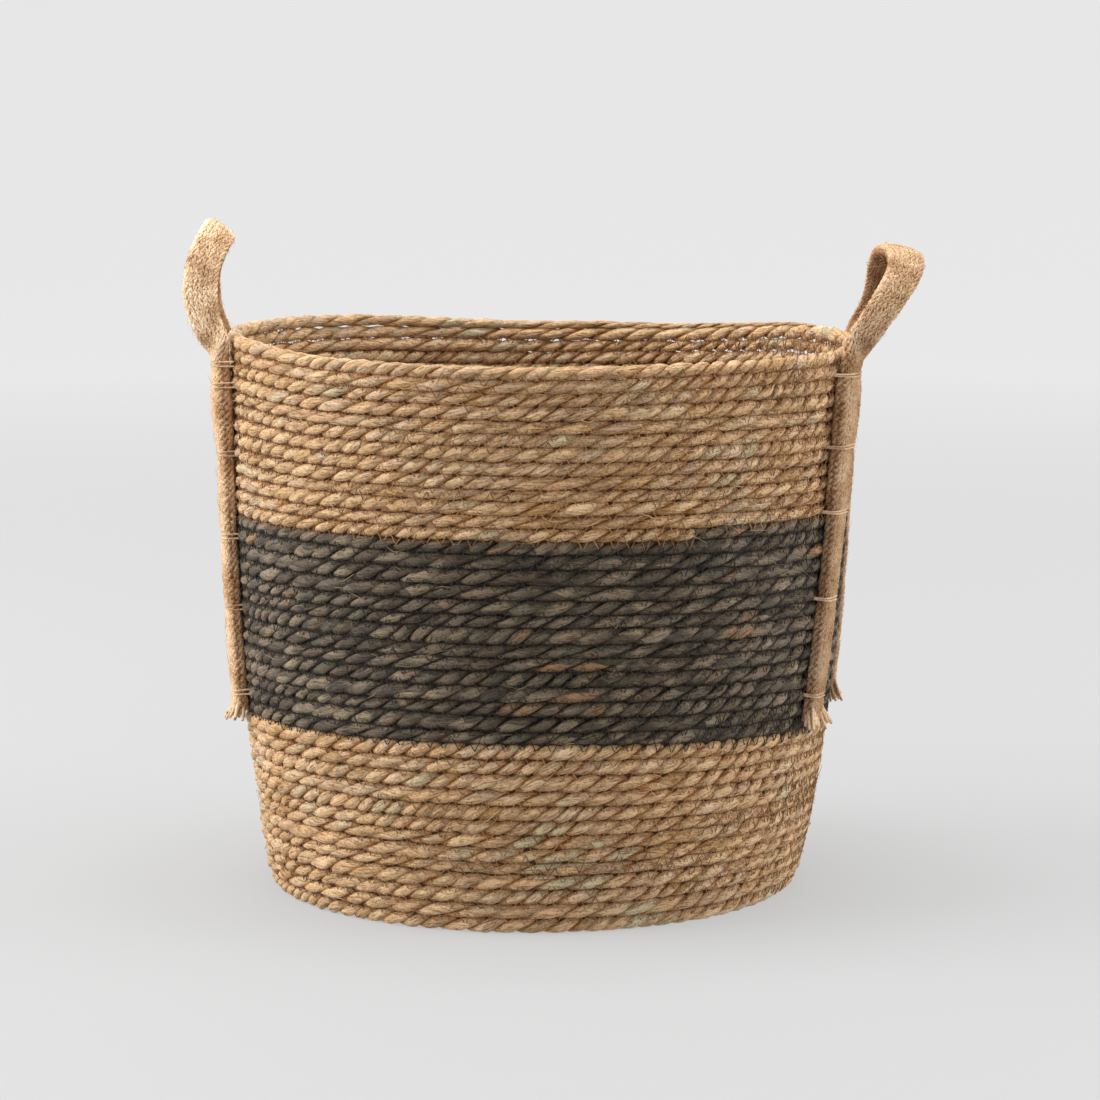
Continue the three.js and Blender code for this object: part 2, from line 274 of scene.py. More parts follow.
def rope_material(name, palette, hollow_shade_tint, half_shade_tint, seed):
    """Twisted seagrass: long flat blades of uneven colour, finely ribbed, with painted shade in
    the hollows between strands, along the seams between courses and at the blade edges.
    Reads the mesh's grain UV and its crest value, which sets the painted shade."""
    n = Nodes(name)
    blades = n.stretched("grain", (1 / 0.046, 3.4), BLADE_SLANT * 3.4)
    shifted = n.add("VectorMath", {0: blades, 1: (seed, seed * 0.37, 0)}, operation="ADD")
    spots = {"Vector": shifted.outputs[0], "Scale": 1.0, "Randomness": 0.8}
    cells = n.add("TexVoronoi", spots, voronoi_dimensions="2D")
    edges = n.add("TexVoronoi", spots, voronoi_dimensions="2D", feature="DISTANCE_TO_EDGE")
    random = n.add("SeparateColor", {0: cells.outputs["Color"]})
    ribs = n.noise(n.stretched("grain", (70.0, 40.0), BLADE_SLANT * 40.0), 1.0, 3.0, 0.75)
    creases = n.noise(n.stretched("grain", (170.0, 15.0), BLADE_SLANT * 15.0), 1.0, 3.0, 0.7)
    place = n.add("TexCoord").outputs["Object"]
    patches = n.noise(place, 17.0, 2.0, 0.55)
    specks = n.noise(place, 700.0, 2.0, 0.7)
    drift = n.maths("MULTIPLY_ADD", n.maths("SUBTRACT", patches, 0.5), 1.1,
                    n.maths("MULTIPLY_ADD", random.outputs[0], 0.6, 0.2))
    base = n.ramp(drift, palette)
    streak = n.ramp(ribs, [(0.36, srgb(176, 148, 112)), (0.47, grey(0.98)), (0.64, grey(1.08))])
    colour = n.mix(1.0, base, streak, "MULTIPLY")
    blotch = n.ramp(creases, [(0.34, srgb(190, 164, 132)), (0.48, grey(1.0)), (0.68, grey(1.03))])
    colour = n.mix(0.8, colour, blotch, "MULTIPLY")
    speck = n.ramp(specks, [(0.36, srgb(170, 138, 104)), (0.46, grey(1.0)), (0.62, grey(1.03))])
    colour = n.mix(0.5, colour, speck, "MULTIPLY")
    tone = n.ramp(random.outputs[1], [(0.0, grey(0.80)), (0.5, grey(1.0)), (1.0, grey(1.06))])
    colour = n.mix(1.0, colour, tone, "MULTIPLY")
    # Painted shade: darker at the edges of the blades.
    edge = n.ramp(edges.outputs[0], [(0.0, grey(0.62)), (0.06, grey(1.0))])
    colour = n.mix(0.6, colour, edge, "MULTIPLY")
    # Painted shade: darker towards the hollows between plies and along the seams between courses.
    hollow_shade = n.ramp(n.value("painted_shade_crest"), [(0.10, hollow_shade_tint), (0.40, half_shade_tint), (0.75, grey(1.0))])
    colour = n.mix(1.0, colour, hollow_shade, "MULTIPLY")
    n.set(n.shader.inputs["Base Color"], colour)
    rough = n.ramp(ribs, [(0.3, grey(0.72)), (0.7, grey(0.52))])
    n.set(n.shader.inputs["Roughness"], rough)
    n.shader.inputs["Specular IOR Level"].default_value = 0.3
    height = n.maths("MULTIPLY_ADD", ribs, 0.9, n.maths("MULTIPLY", creases, 1.3))
    height = n.maths("MULTIPLY_ADD", specks, 0.5, height)
    height = n.maths("MULTIPLY_ADD", n.maths("MINIMUM", edges.outputs[0], 0.08), 3.0, height)
    bump = n.add("Bump", {"Height": height, "Strength": 1.0, "Distance": 0.0013})
    n.set(n.shader.inputs["Normal"], bump.outputs[0])
    return n.material


def fibre_material(name, dark, light, scale=900.0):
    """Thread, twine or loose fibres: a little uneven in colour along their length."""
    n = Nodes(name)
    place = n.add("TexCoord").outputs["Object"]
    mottle = n.noise(place, scale, 2.0, 0.6)
    drift = n.noise(place, 40.0, 1.0, 0.5)
    share = n.maths("MULTIPLY_ADD", n.maths("SUBTRACT", drift, 0.5), 0.9, mottle)
    n.set(n.shader.inputs["Base Color"], n.ramp(share, [(0.3, dark), (0.7, light)]))
    n.shader.inputs["Roughness"].default_value = 0.8
    n.set(n.shader.inputs["Normal"],
          n.add("Bump", {"Height": mottle, "Strength": 0.5, "Distance": 0.0002}).outputs[0])
    return n.material


def jute_material(name, painted_light_tint):
    """Braided jute: yarns laid in chevrons, fuzzy, with pale and brown fibres. Shade is painted
    between the yarns, on the inward face of the loop and on the legs below the rim, and the
    tint paints light or shade over the whole strap."""
    n = Nodes(name)
    place = n.add("TexCoord").outputs["Object"]
    lean = n.value("lean")
    parts = n.add("SeparateXYZ", {0: n.add("UVMap", uv_map="grain").outputs[0]})
    along, across = parts.outputs[0], parts.outputs[1]
    slide = n.maths("MULTIPLY_ADD", n.maths("MULTIPLY", across, lean), -0.9, along)
    fibres = n.noise(n.add("CombineXYZ", {0: n.maths("MULTIPLY", slide, 2600.0),
                                          1: n.maths("MULTIPLY", across, 420.0)}).outputs[0],
                     1.0, 3.0, 0.65)
    fuzz = n.noise(place, 1500.0, 2.0, 0.7)
    patches = n.noise(place, 55.0, 3.0, 0.6)
    share = n.maths("MULTIPLY_ADD", n.maths("SUBTRACT", fibres, 0.5), 1.2, patches)
    share = n.maths("MULTIPLY_ADD", n.maths("SUBTRACT", fuzz, 0.5), 0.7, share)
    base = n.ramp(share, [(0.22, srgb(150, 108, 70)), (0.40, srgb(212, 174, 134)),
                          (0.58, srgb(238, 206, 168)), (0.78, srgb(254, 234, 206))])
    # Painted shade between the yarns and on the inward face of the loop.
    painted_shade_crest = n.ramp(n.value("painted_shade_crest"), [(0.05, srgb(146, 102, 66)), (0.55, grey(1.0))])
    loop_inner_shade = n.ramp(n.value("loop_inner_shade"), [(0.15, grey(1.0)), (0.8, srgb(176, 146, 116))])
    colour = n.mix(1.0, n.mix(0.9, base, painted_shade_crest, "MULTIPLY"), loop_inner_shade, "MULTIPLY")
    # Painted shade: the legs below the rim are a little darker than the loop.
    level = n.add("SeparateXYZ", {0: place}).outputs[2]
    above_rim = n.add("MapRange", {"Value": level, "From Min": 0.325, "From Max": 0.365}).outputs[0]
    leg_shade = n.ramp(above_rim, [(0.0, srgb(238, 232, 226)), (1.0, grey(1.0))])
    # Painted light and shade over the whole strap, from the tint.
    colour = n.mix(1.0, n.mix(1.0, colour, leg_shade, "MULTIPLY"), painted_light_tint, "MULTIPLY")
    n.set(n.shader.inputs["Base Color"], colour)
    n.shader.inputs["Roughness"].default_value = 0.86
    n.shader.inputs["Specular IOR Level"].default_value = 0.2
    height = n.maths("MULTIPLY_ADD", fibres, 0.8, n.maths("MULTIPLY", fuzz, 0.6))
    n.set(n.shader.inputs["Normal"],
          n.add("Bump", {"Height": height, "Strength": 0.9, "Distance": 0.0006}).outputs[0])
    return n.material


NATURAL = [(0.00, srgb(174, 133, 84)), (0.16, srgb(200, 161, 112)), (0.32, srgb(216, 180, 136)),
           (0.46, srgb(212, 173, 130)), (0.60, srgb(222, 190, 146)), (0.74, srgb(216, 182, 148)),
           (0.86, srgb(202, 188, 150)), (1.00, srgb(226, 208, 174))]
CHARCOAL = [(0.00, srgb(42, 35, 26)), (0.20, srgb(110, 95, 76)), (0.38, srgb(74, 66, 55)),
            (0.52, srgb(148, 132, 109)), (0.66, srgb(86, 79, 62)), (0.78, srgb(120, 110, 95)),
            (0.90, srgb(142, 112, 82)), (1.00, srgb(170, 129, 92))]

# After each palette come the painted shade tints, for the hollows and half-way out of them.
natural_rope = rope_material("natural_seagrass", NATURAL, srgb(218, 160, 94), srgb(240, 216, 182),
                             3.1)
charcoal_rope = rope_material("charcoal_seagrass", CHARCOAL, srgb(22, 15, 8), srgb(160, 142, 118),
                              8.7)
natural_thread = fibre_material("natural_thread", srgb(112, 76, 44), srgb(168, 120, 76), 120.0)
# A dark colour for the strip inside the seams, which is painted shade.
natural_seam_shade = fibre_material("natural_seam_shade", srgb(70, 42, 20), srgb(104, 66, 34), 300.0)
charcoal_thread = fibre_material("charcoal_thread", srgb(26, 23, 20), srgb(48, 42, 36))
natural_fibre = fibre_material("natural_fibre", srgb(150, 106, 66), srgb(222, 186, 140), 60.0)
charcoal_fibre = fibre_material("charcoal_fibre", srgb(40, 35, 30), srgb(170, 140, 108), 60.0)
jute_hair = fibre_material("jute_hair", srgb(158, 116, 78), srgb(238, 208, 172), 140.0)
yarn = fibre_material("jute_yarn", srgb(168, 130, 94), srgb(226, 196, 160))
# Painted light and shade: the left strap is painted lighter and the right darker, as the key light
# falls from the left.
jute = {"left": jute_material("left_braided_jute_painted_light", grey(1.12)),
        "right": jute_material("right_braided_jute_painted_shade", srgb(222, 216, 210))}
twine = fibre_material("jute_twine", srgb(170, 132, 96), srgb(226, 198, 164))

# ---------------------------------------------------------------- the coil


def course_height(n):
    """Height of the wall after n courses, counted at the front. The rope is uneven."""
    level = np.interp(n, [0, BAND_FIRST, BAND_LAST, COURSES], [0, BAND_BOTTOM, BAND_TOP, HEIGHT])
    steady = smooth(np.minimum(n, COURSES - n) / 1.5)
    for edge in (BAND_FIRST, BAND_LAST):
        steady = steady * (0.3 + 0.7 * smooth(np.abs(n - edge) / 0.7))
    uneven = 0.75 * wobble(n + 1, 0.31, 41) + 0.4 * wobble(n + 1, 0.12, 42)
    return level + steady * uneven + np.minimum(steady * 2, 1) * 0.32 * wobble(n + 1, 0.017, 43)


def seam_height(turn):
    """The underside of the coil at `turn` turns from its start. The step up to the next
    course is spread over the whole turn in the middle, and short at foot and rim."""
    whole = np.floor(turn)
    width = np.interp(turn, [0, 8, 32, 41], [0.25, 1.0, 1.0, 0.3])
    share = np.clip((turn - whole) / width, 0, 1)
    return course_height(np.maximum(whole - 1 + share, 0))


def rim_lift(azimuth):
    """How much the rim stands above its even height: the handles hold it up at the sides,
    mostly towards the back, and it droops between them."""
    degrees = [-180, -150, -130, -90, -60, -20, 0, 20, 35, 50, 65, 90, 100, 115, 131, 150]
    lift = [7.5, 4.5, 0, -2.2, -1.2, -1.5, 1.5, 4.3, 4.0, 0.5, -1.8, -1.6, -1, 1.9, 5.5, 7.5]
    return np.interp(np.degrees(azimuth), degrees, lift, period=360)


def sag(azimuth, z):
    """How much lower than even the courses lie, at the sides and up at the rim."""
    left = np.interp(z, [0, 49, BAND_BOTTOM, BAND_TOP, HEIGHT], [0, 2, 6.5, 2.5, 0])
    right = np.interp(z, [0, 49, BAND_BOTTOM, BAND_TOP, HEIGHT], [0, 2, 8.0, 4.5, 0])
    side = np.cos(azimuth)
    rise = smooth((z - BAND_TOP) / (HEIGHT - BAND_TOP))
    return np.where(side < 0, left, right) * side ** 2 - rim_lift(azimuth) * rise


def dent(azimuth, z):
    """The wall is drawn in a little on the left above its foot, and at the foot itself."""
    left = 2.6 * np.exp(-((z - 60) / 52) ** 2) * np.maximum(-np.cos(azimuth), 0) ** 2
    return left + 3.0 * np.exp(-z / 12) * np.cos(azimuth) ** 2


def coil_azimuth(turn):
    return np.radians(COIL_START - 360 * turn)


def on_wall(turn, z, inset):
    """A point inside the wall's outer face by `inset`, with the sag and the lean."""
    azimuth = coil_azimuth(turn)
    radius = wall_radius(z) - inset - dent(azimuth, z)
    low = np.maximum(z - sag(azimuth, z) * smooth(z / 60), 0)
    return np.stack([radius * np.cos(azimuth) + LEAN * low / HEIGHT,
                     radius * np.sin(azimuth), low], -1)


def even_turns(end):
    """Turns along the wall coil, one each ROPE_STEP of rope, and the length so far."""
    fine = np.linspace(0, end, int(end * 400))
    z = (seam_height(fine) + seam_height(fine + 1)) / 2
    step = wall_radius(z) * 2 * math.pi * np.gradient(fine)
    length = np.concatenate([[0], np.cumsum(step[1:])])
    count = int(length[-1] / ROPE_STEP)
    s = np.linspace(0, length[-1], count)
    return np.interp(s, length, fine), s


def section(degrees, thickness, depth):
    """Radius of the two-ply section at an angle from its long axis, with the grooves at
    right angles to it. Each ply has its own thickness."""
    sine = np.sin(np.radians(degrees))
    from_groove = np.abs(90 - np.abs((degrees + 90) % 180 - 90))
    groove = GROOVE_DEPTH * depth * np.exp(-(from_groove / GROOVE_WIDTH) ** 2)
    return PLY_REACH * thickness * (1 - PLY_FLATNESS * sine ** 2) - groove


def rope_surface(centre, out, tall, wide, s, seed, open_above, open_below):
    """Rings of points round a twisted two-ply rope, and a value for the painted shade: how far
    each point is out of the hollows and the seams between courses. open_above and open_below
    are 1 where no other course lies against the rope, and there no seam shade is painted."""
    uneven = (0.34 * wobble(s, 310, seed) + 0.22 * wobble(s, 48, seed + 1)
              + 0.28 * wobble(s, 15, seed + 8))
    pitch = TWIST_PITCH * np.exp(uneven)
    twist = -2 * math.pi * np.cumsum(np.gradient(s) / pitch)
    first = 1 + 0.08 * wobble(s, 22, seed + 2) + 0.06 * wobble(s, 6, seed + 3)
    second = 1 + 0.08 * wobble(s, 22, seed + 4) + 0.06 * wobble(s, 6, seed + 5)
    share = np.clip(0.5 + 2 * np.cos(np.radians(PLY_ANGLES)), 0, 1)[None]
    depth = np.clip(0.72 + 0.5 * wobble(s, 34, seed + 7) + 0.4 * wobble(s, 9, seed + 9), 0.1, 1.4)
    radius = section(PLY_ANGLES[None], first[:, None] * share + second[:, None] * (1 - share),
                     depth[:, None])
    rng = np.random.default_rng(seed + 6)
    radius = radius + rng.uniform(-PLY_JITTER, PLY_JITTER, radius.shape)
    angle = np.radians(PLY_ANGLES)[None] + twist[:, None]
    sideways = radius * np.cos(angle) * wide[:, None]
    pressed = (radius / PLY_REACH) ** 0.85 * np.sin(angle)
    upwards = pressed * tall[:, None]
    up = np.zeros_like(out)
    up[:, 2] = 1
    points = centre[:, None] + out[:, None] * sideways[..., None] + up[:, None] * upwards[..., None]
    painted_shade_crest = np.clip((radius - HOLLOW_RADIUS) / (CREST_RADIUS - HOLLOW_RADIUS), 0, 1)
    # Painted shade along the seams between courses, except where no course lies against the rope.
    seam = np.clip((np.abs(np.sin(angle)) - 0.70) / 0.26, 0, 1)
    seam = seam * (0.72 + 0.28 * wobble(s, 12, seed + 10))[:, None]
    open_edge = np.where(np.sin(angle) > 0, open_above[:, None], open_below[:, None])
    painted_shade_crest = np.minimum(painted_shade_crest, 1 - 0.9 * seam * (1 - open_edge))
    return points, painted_shade_crest


def rope_piece(name, points, painted_shade_crest, s, material, node, strips=9):
    """One named length of rope, in place of a CAD node."""
    rows, sides = points.shape[:2]
    caps = [np.arange(sides)[::-1], np.arange(sides) + (rows - 1) * sides]
    piece = make_mesh(name, points.reshape(-1, 3), ring_quads(rows, sides), caps, material,
                      strip_uvs(rows, sides, strips, s * 0.001), {"painted_shade_crest": painted_shade_crest.ravel()})
    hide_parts(node)
    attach(piece, "basket")
    return piece


turns, lengths = even_turns(TURNS)
bottom, top = seam_height(turns), np.minimum(seam_height(turns + 1), HEIGHT)
middle, thick = (bottom + top) / 2, top - bottom
to_end = np.minimum(np.abs(turns - UPPER_SWITCH), np.abs(turns - LOWER_SWITCH)) * 1200
ending = 0.5 + 0.5 * smooth(to_end / 12)
tall = (np.maximum(thick, 1.2) / 2 + 0.42) * (0.6 + 0.4 * ending)
wide = np.minimum(1, 0.45 + 0.55 * thick / COURSE) * ending * (1 + 0.06 * wobble(lengths, 90, 31))
inset = ROPE_INSET + 0.45 * wobble(lengths, 90, 32) + 0.25 * wobble(lengths, 30, 33)
tuck = np.where(turns > 20, -1.2, 1.0) * np.clip(1 - thick / COURSE, 0, 1)
centre = on_wall(turns, middle + tuck + 0.25 * wobble(lengths, 70, 34), inset)
azimuths = coil_azimuth(turns)
outward = np.stack([np.cos(azimuths), np.sin(azimuths), np.zeros_like(azimuths)], -1)
coil_points, coil_shade_crest = rope_surface(
    centre, outward, tall, wide, lengths, 100,
    smooth((turns - TURNS + 1.05) / 0.05), smooth((1.0 - turns) / 0.05))
coil_points[..., 2] = np.maximum(coil_points[..., 2], 0.0)

CUTS = [("lower_rope", 0.0, LOWER_SWITCH, 6, natural_rope, "lower_wall"),
        ("charcoal_rope", LOWER_SWITCH, UPPER_SWITCH, 7, charcoal_rope, "charcoal_band"),
        ("upper_rope", UPPER_SWITCH, TURNS - 1.0, 5, natural_rope, "upper_wall"),
        ("rim_rope", TURNS - 1.0, TURNS, 1, natural_rope, "rim_course")]
for name, start, end, count, material, node in CUTS:
    edges = np.linspace(start, end, count + 1)
    for i in range(count):
        a, b = np.searchsorted(turns, edges[i]), np.searchsorted(turns, edges[i + 1])
        b = min(b + 1, len(turns))
        label = f"{name}_{i + 1}" if count > 1 else name
        piece = rope_piece(label, coil_points[a:b], coil_shade_crest[a:b], lengths[a:b], material, node)

# The base: the same rope in a flat spiral.
spiral_turn = np.linspace(0.6, 17.9, 5200)
spiral_radius = ROPE * spiral_turn
spiral_length = np.concatenate([[0], np.cumsum(
    spiral_radius[1:] * 2 * math.pi * np.diff(spiral_turn))])
count = int(spiral_length[-1] / BASE_STEP)
s = np.linspace(0, spiral_length[-1], count)
spiral_radius = np.interp(s, spiral_length, spiral_radius)
around = np.radians(COIL_START) - 2 * math.pi * np.interp(s, spiral_length, spiral_turn)
out = np.stack([np.cos(around), np.sin(around), np.zeros_like(around)], -1)
flat = np.ones_like(s)
base_points, base_shade_crest = rope_surface(
    out * spiral_radius[:, None] + [0, 0, ROPE / 2 + 0.1], out, flat * ROPE / 2,
    flat * 1.02, s, 300, flat, flat)
base_points[..., 2] = np.maximum(base_points[..., 2], 0.0)
piece = rope_piece("base_rope", base_points, base_shade_crest, s, natural_rope, "base_coil", strips=18)

# ---------------------------------------------------------------- stitching


def thread_mesh(name, strands, radius, sides, material, body="basket"):
    """Many short tubes in one mesh. strands is (count, steps, 3). Without a body, the
    mesh is left unattached."""
    count, steps = strands.shape[:2]
    along = np.gradient(strands, axis=1)
    along /= np.linalg.norm(along, axis=2, keepdims=True) + 1e-9
    helper = np.where(np.abs(along[..., 2:3]) > 0.8, [[[1.0, 0, 0]]], [[[0, 0, 1.0]]])
    one = np.cross(along, helper)
    one /= np.linalg.norm(one, axis=2, keepdims=True) + 1e-9
    two = np.cross(along, one)
    angle = 2 * math.pi * np.arange(sides) / sides
    radii = np.broadcast_to(np.asarray(radius, float), (count, steps))[..., None, None]
    ring = one[:, :, None] * np.cos(angle)[:, None] + two[:, :, None] * np.sin(angle)[:, None]
    points = (strands[:, :, None] + ring * radii).reshape(-1, 3)
    single = ring_quads(steps, sides)
    quads = (single[None] + (np.arange(count) * steps * sides)[:, None, None]).reshape(-1, 4)
    cells = math.ceil(math.sqrt(count))
    index = np.arange(count)
    corner = np.stack([index % cells, index // cells], -1) / cells
    cell = strip_uvs(steps, sides, 1)["OFBake"] * 0.9 / cells
    bake = (corner[:, None] + cell[None]).reshape(-1, 2)
    piece = make_mesh(name, points, quads, (), material, {"OFBake": bake})
    if body:
        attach(piece, body)
    return piece


def zigzag(start, end, depth, seed, tightness):
    """A zigzag along the seam from one turn to another, `depth` in from the wall's face.
    Each stroke is its own strand, its ends sunk in the rope; tightness sinks the strokes
    on the left, where the thread is pulled in."""
    mean = wall_radius((seam_height(start) + seam_height(end)) / 2)
    count = int((end - start) * mean * 2 * math.pi / STITCH_PERIOD * 2)
    tips = np.linspace(start, end, count + 1)
    rng = np.random.default_rng(seed)
    reach = (STITCH_SPAN / 2) * (-1.0) ** np.arange(count + 1)
    reach = reach * (1.05 + 0.35 * wobble(tips, 0.13, seed + 1)) * rng.uniform(0.7, 1.15, count + 1)
    azimuth = coil_azimuth(tips)
    reach = reach * (1 + 0.3 * smooth(np.cos(azimuth) / 0.5))
    tight = smooth((-0.25 - np.cos(azimuth)) / 0.5) * tightness
    tips = tips + rng.uniform(-0.16, 0.16, count + 1) * (tips[1] - tips[0])
    share = np.linspace(0, 1, 5)
    turn = tips[:-1, None] * (1 - share) + tips[1:, None] * share
    offset = reach[:-1, None] * (1 - share) + reach[1:, None] * share
    z = np.minimum(seam_height(turn) + offset, HEIGHT - 3)
    sunk = np.array([0.9, 0.0, 0.5, 0.0, 0.9]) + 1.5 * tight[:-1, None]
    sign = 1 if depth < ROPE / 2 else -1
    return on_wall(turn, z, depth + sign * sunk)


SEAMS = [("lower_stitching", 1.0, LOWER_SWITCH, natural_thread),
         ("charcoal_stitching", LOWER_SWITCH, UPPER_SWITCH, charcoal_thread),
         ("upper_stitching", UPPER_SWITCH, TURNS - 0.35, natural_thread)]
for k, (name, start, end, material) in enumerate(SEAMS):
    for place, depth in (("outside", STITCH_OUTSIDE), ("inside", STITCH_INSIDE)):
        strands = zigzag(start, end, depth, 500 + k, 0.5 if k == 1 else 1.0)
        thread_mesh(f"{name}_{place}", strands, THREAD, 4, material)


def seam_shade_strip(name, start, end, material):
    """A dark flat strip between two courses inside the wall: painted shade in the seam."""
    turn = np.linspace(start, end, int((end - start) * 150))
    corners = [(1, 1), (1, -1), (-1, -1), (-1, 1)]
    rings = np.stack([on_wall(turn, seam_height(turn) + up * CORE_HEIGHT,
                              ROPE_INSET + inwards * CORE_THICKNESS) for up, inwards in corners], 1)
    count = len(turn)
    caps = [np.arange(4)[::-1], np.arange(4) + (count - 1) * 4]
    piece = make_mesh(name, rings.reshape(-1, 3), ring_quads(count, 4), caps, material,
                      strip_uvs(count, 4, 30))
    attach(piece, "basket")


# Dark strips inside the seams: painted shade that closes the gaps between courses.
seam_shade_strip("lower_seam_shade", 1.0, LOWER_SWITCH, natural_seam_shade)
seam_shade_strip("charcoal_seam_shade", LOWER_SWITCH, UPPER_SWITCH, charcoal_thread)
seam_shade_strip("upper_seam_shade", UPPER_SWITCH, CORE_TOP, natural_seam_shade)


def loose_fibres(name, start, end, count, seed, material):
    """Short ends of blade and thread that stand off the outside of the wall."""
    rng = np.random.default_rng(seed)
    turn = rng.uniform(start, end, count)
    share = np.linspace(0, 1, 7)[None]
    long = 2.5 + 17 * rng.uniform(0, 1, (count, 1)) ** 2.5
    span = long / 1190 * rng.choice([-1, 1], (count, 1))
    rise = rng.normal(0, 0.25, (count, 1)) * long
    bow = rng.uniform(0.3, 1.6, (count, 1))
    curl = rng.uniform(-2.5, 2.5, (count, 1)) * np.sin(share * math.pi)
    turns_along = turn[:, None] + span * share
    level = (seam_height(turn) + rng.uniform(1.5, 7, count))[:, None] + rise * share + curl
    off = 0.4 - bow * np.sin(share * math.pi * rng.uniform(0.5, 1.0, (count, 1)))
    strands = on_wall(turns_along, np.clip(level, 1, HEIGHT - 1), off)
    thin = rng.uniform(0.12, 0.26, (count, 1)) * (1.05 - 0.6 * share)
    piece = thread_mesh(name, strands, thin, 3, material)


loose_fibres("natural_fibres_low", 1, LOWER_SWITCH, 700, 61, natural_fibre)
loose_fibres("natural_fibres_top", UPPER_SWITCH, 39.5, 1100, 62, natural_fibre)
loose_fibres("charcoal_fibres", LOWER_SWITCH, UPPER_SWITCH, 420, 63, charcoal_fibre)

# ---------------------------------------------------------------- handles


def unit(vectors):
    return vectors / np.maximum(np.linalg.norm(vectors, axis=-1, keepdims=True), 1e-9)


def dot(a, b):
    return np.sum(a * b, axis=-1, keepdims=True)


def leg_thickness(handle, z, front):
    """The front leg is flattened low on the wall and full near the rim; the back is flat."""
    low, high = handle["full"]
    full = LEG_THICKNESS + (TOP_THICKNESS - LEG_THICKNESS) * smooth((z - low) / (high - low))
    full = full + handle["bow"] * np.exp(-((z - BOW_HEIGHT) / BOW_REACH) ** 2)
    return np.where(front, full, BACK_THICKNESS)


def leg_distance(handle, z, front):
    """How far outside the wall the strap's centre lies: pressed a little into the rope, and
    standing off it just under the rim."""
    rise = np.clip(1 - (HEIGHT - z) / STANDOFF_HEIGHT, 0, None)
    return leg_thickness(handle, z, front) / 2 - PRESS + STANDOFF * rise ** 2


def leg_path(handle, end, z):
    """Centre, width direction and outward direction of the strap against the wall."""
    top_azimuth = handle["centre"] + handle["half"] * (-1 if end == "front" else 1)
    azimuth = np.radians(top_azimuth + handle["wander"][end] * (HEIGHT - z) / (HEIGHT - LEG_END))
    side = handle["side"]
    out = np.stack([np.cos(azimuth) * side, np.sin(azimuth), np.zeros_like(z)], -1)
    across = np.stack([-out[:, 1], out[:, 0], np.zeros_like(z)], -1)
    face = out.copy()
    face[:, 2] = -wall_slope(z)
    distance = wall_radius(z) + leg_distance(handle, z, end == "front")
    centre = out * distance[:, None]
    centre[:, 2] = z
    return centre, across, unit(face)


def loop_path(handle, turn):
    """The same for the free loop above the rim, as on the CAD loop."""
    loop, side = handle["loop"], handle["side"]
    fold = wall_radius(HEIGHT) + CAD_STANDOFF + STANDOFF
    reach = fold * math.cos(math.radians(handle["half"]))
    half = fold * math.sin(math.radians(handle["half"]))
    root = math.radians(loop["root"])
    bend = math.radians(loop["apex"] - loop["root"]) / loop["height"]
    climb = loop["height"] * np.sin(turn)
    lean = root + bend * climb
    aside = -half * np.cos(turn)
    outwards = (math.cos(root) - np.cos(lean)) / bend
    outwards = outwards - loop["shear"] * aside * (climb / loop["height"]) ** 3
    rise = (np.sin(lean) - math.sin(root)) / bend
    centre_turn = math.radians(handle["centre"])
    out = np.array([math.cos(centre_turn) * side, math.sin(centre_turn), 0.0])
    back = np.array([-out[1], out[0], 0.0]) * side
    centre = out * (reach + outwards)[:, None] + back * aside[:, None]
    centre[:, 2] = HEIGHT + rise
    along = unit(np.gradient(centre, axis=0))
    normal = out * np.cos(lean)[:, None]
    normal[:, 2] = -np.sin(lean)
    normal = unit(normal - along * dot(normal, along))
    return centre, normal, climb


def strap_path(handle):
    """The whole strap, from the front leg's last tie over the loop to the back leg's. It lies
    flat on the wall and turns a quarter turn where it leaves the rim."""
    z = np.arange(LEG_END + 7, HEIGHT - 3, 1.0)
    front, _, front_face = leg_path(handle, "front", z)
    back, _, back_face = leg_path(handle, "back", z[::-1])
    loop, loop_normal, climb = loop_path(handle, np.linspace(0.03, math.pi - 0.03, 220))
    centre = np.concatenate([front, loop, back])
    normal = np.concatenate([front_face, loop_normal, back_face])
    heights = np.concatenate([z, HEIGHT + climb, z[::-1]])
    length = np.concatenate([[0], np.cumsum(np.linalg.norm(np.diff(centre, axis=0), axis=1))])
    s = np.arange(0, length[-1], STRAP_STEP)
    even = lambda v: np.stack([np.interp(s, length, v[:, k]) for k in range(3)], -1)
    centre, normal, heights = even(centre), even(normal), np.interp(s, length, heights)
    reach = np.arange(-20, 21)
    kernel = np.exp(-(reach / 7.5) ** 2)
    kernel /= kernel.sum()
    blur = lambda v: np.stack([np.convolve(np.pad(v[:, k], 20, "reflect", reflect_type="odd"),
                                           kernel, "valid") for k in range(3)], -1)
    centre, normal = blur(centre), unit(blur(normal))
    along = unit(np.gradient(centre, axis=0))
    normal = unit(normal - along * dot(normal, along))
    away = np.cross(normal, along) * handle["side"]
    free = np.clip((heights - TWIST_START) / TWIST_LENGTH, 0, 1)
    turned = ((1 - smooth(free)) * math.pi / 2)[:, None]
    face = normal * np.sin(turned) + away * np.cos(turned)
    across = np.cross(face, along)
    centre[:, 0] += LEAN * centre[:, 2] / HEIGHT
    return s, centre, across, face, free, heights


def strap_section():
    """Evenly spaced points round a flat strap with rounded edges, -1 to 1 across and
    through."""
    angle = np.linspace(0, 2 * math.pi, 2001)
    x = np.sign(np.cos(angle)) * np.abs(np.cos(angle)) ** 0.6
    y = np.sign(np.sin(angle)) * np.abs(np.sin(angle)) ** 0.85
    length = np.concatenate([[0], np.cumsum(np.hypot(np.diff(x) * 2.3, np.diff(y)))])
    place = (np.arange(SECTION_COUNT) + 0.5) / SECTION_COUNT * length[-1]
    return np.interp(place, length, x), np.interp(place, length, y)


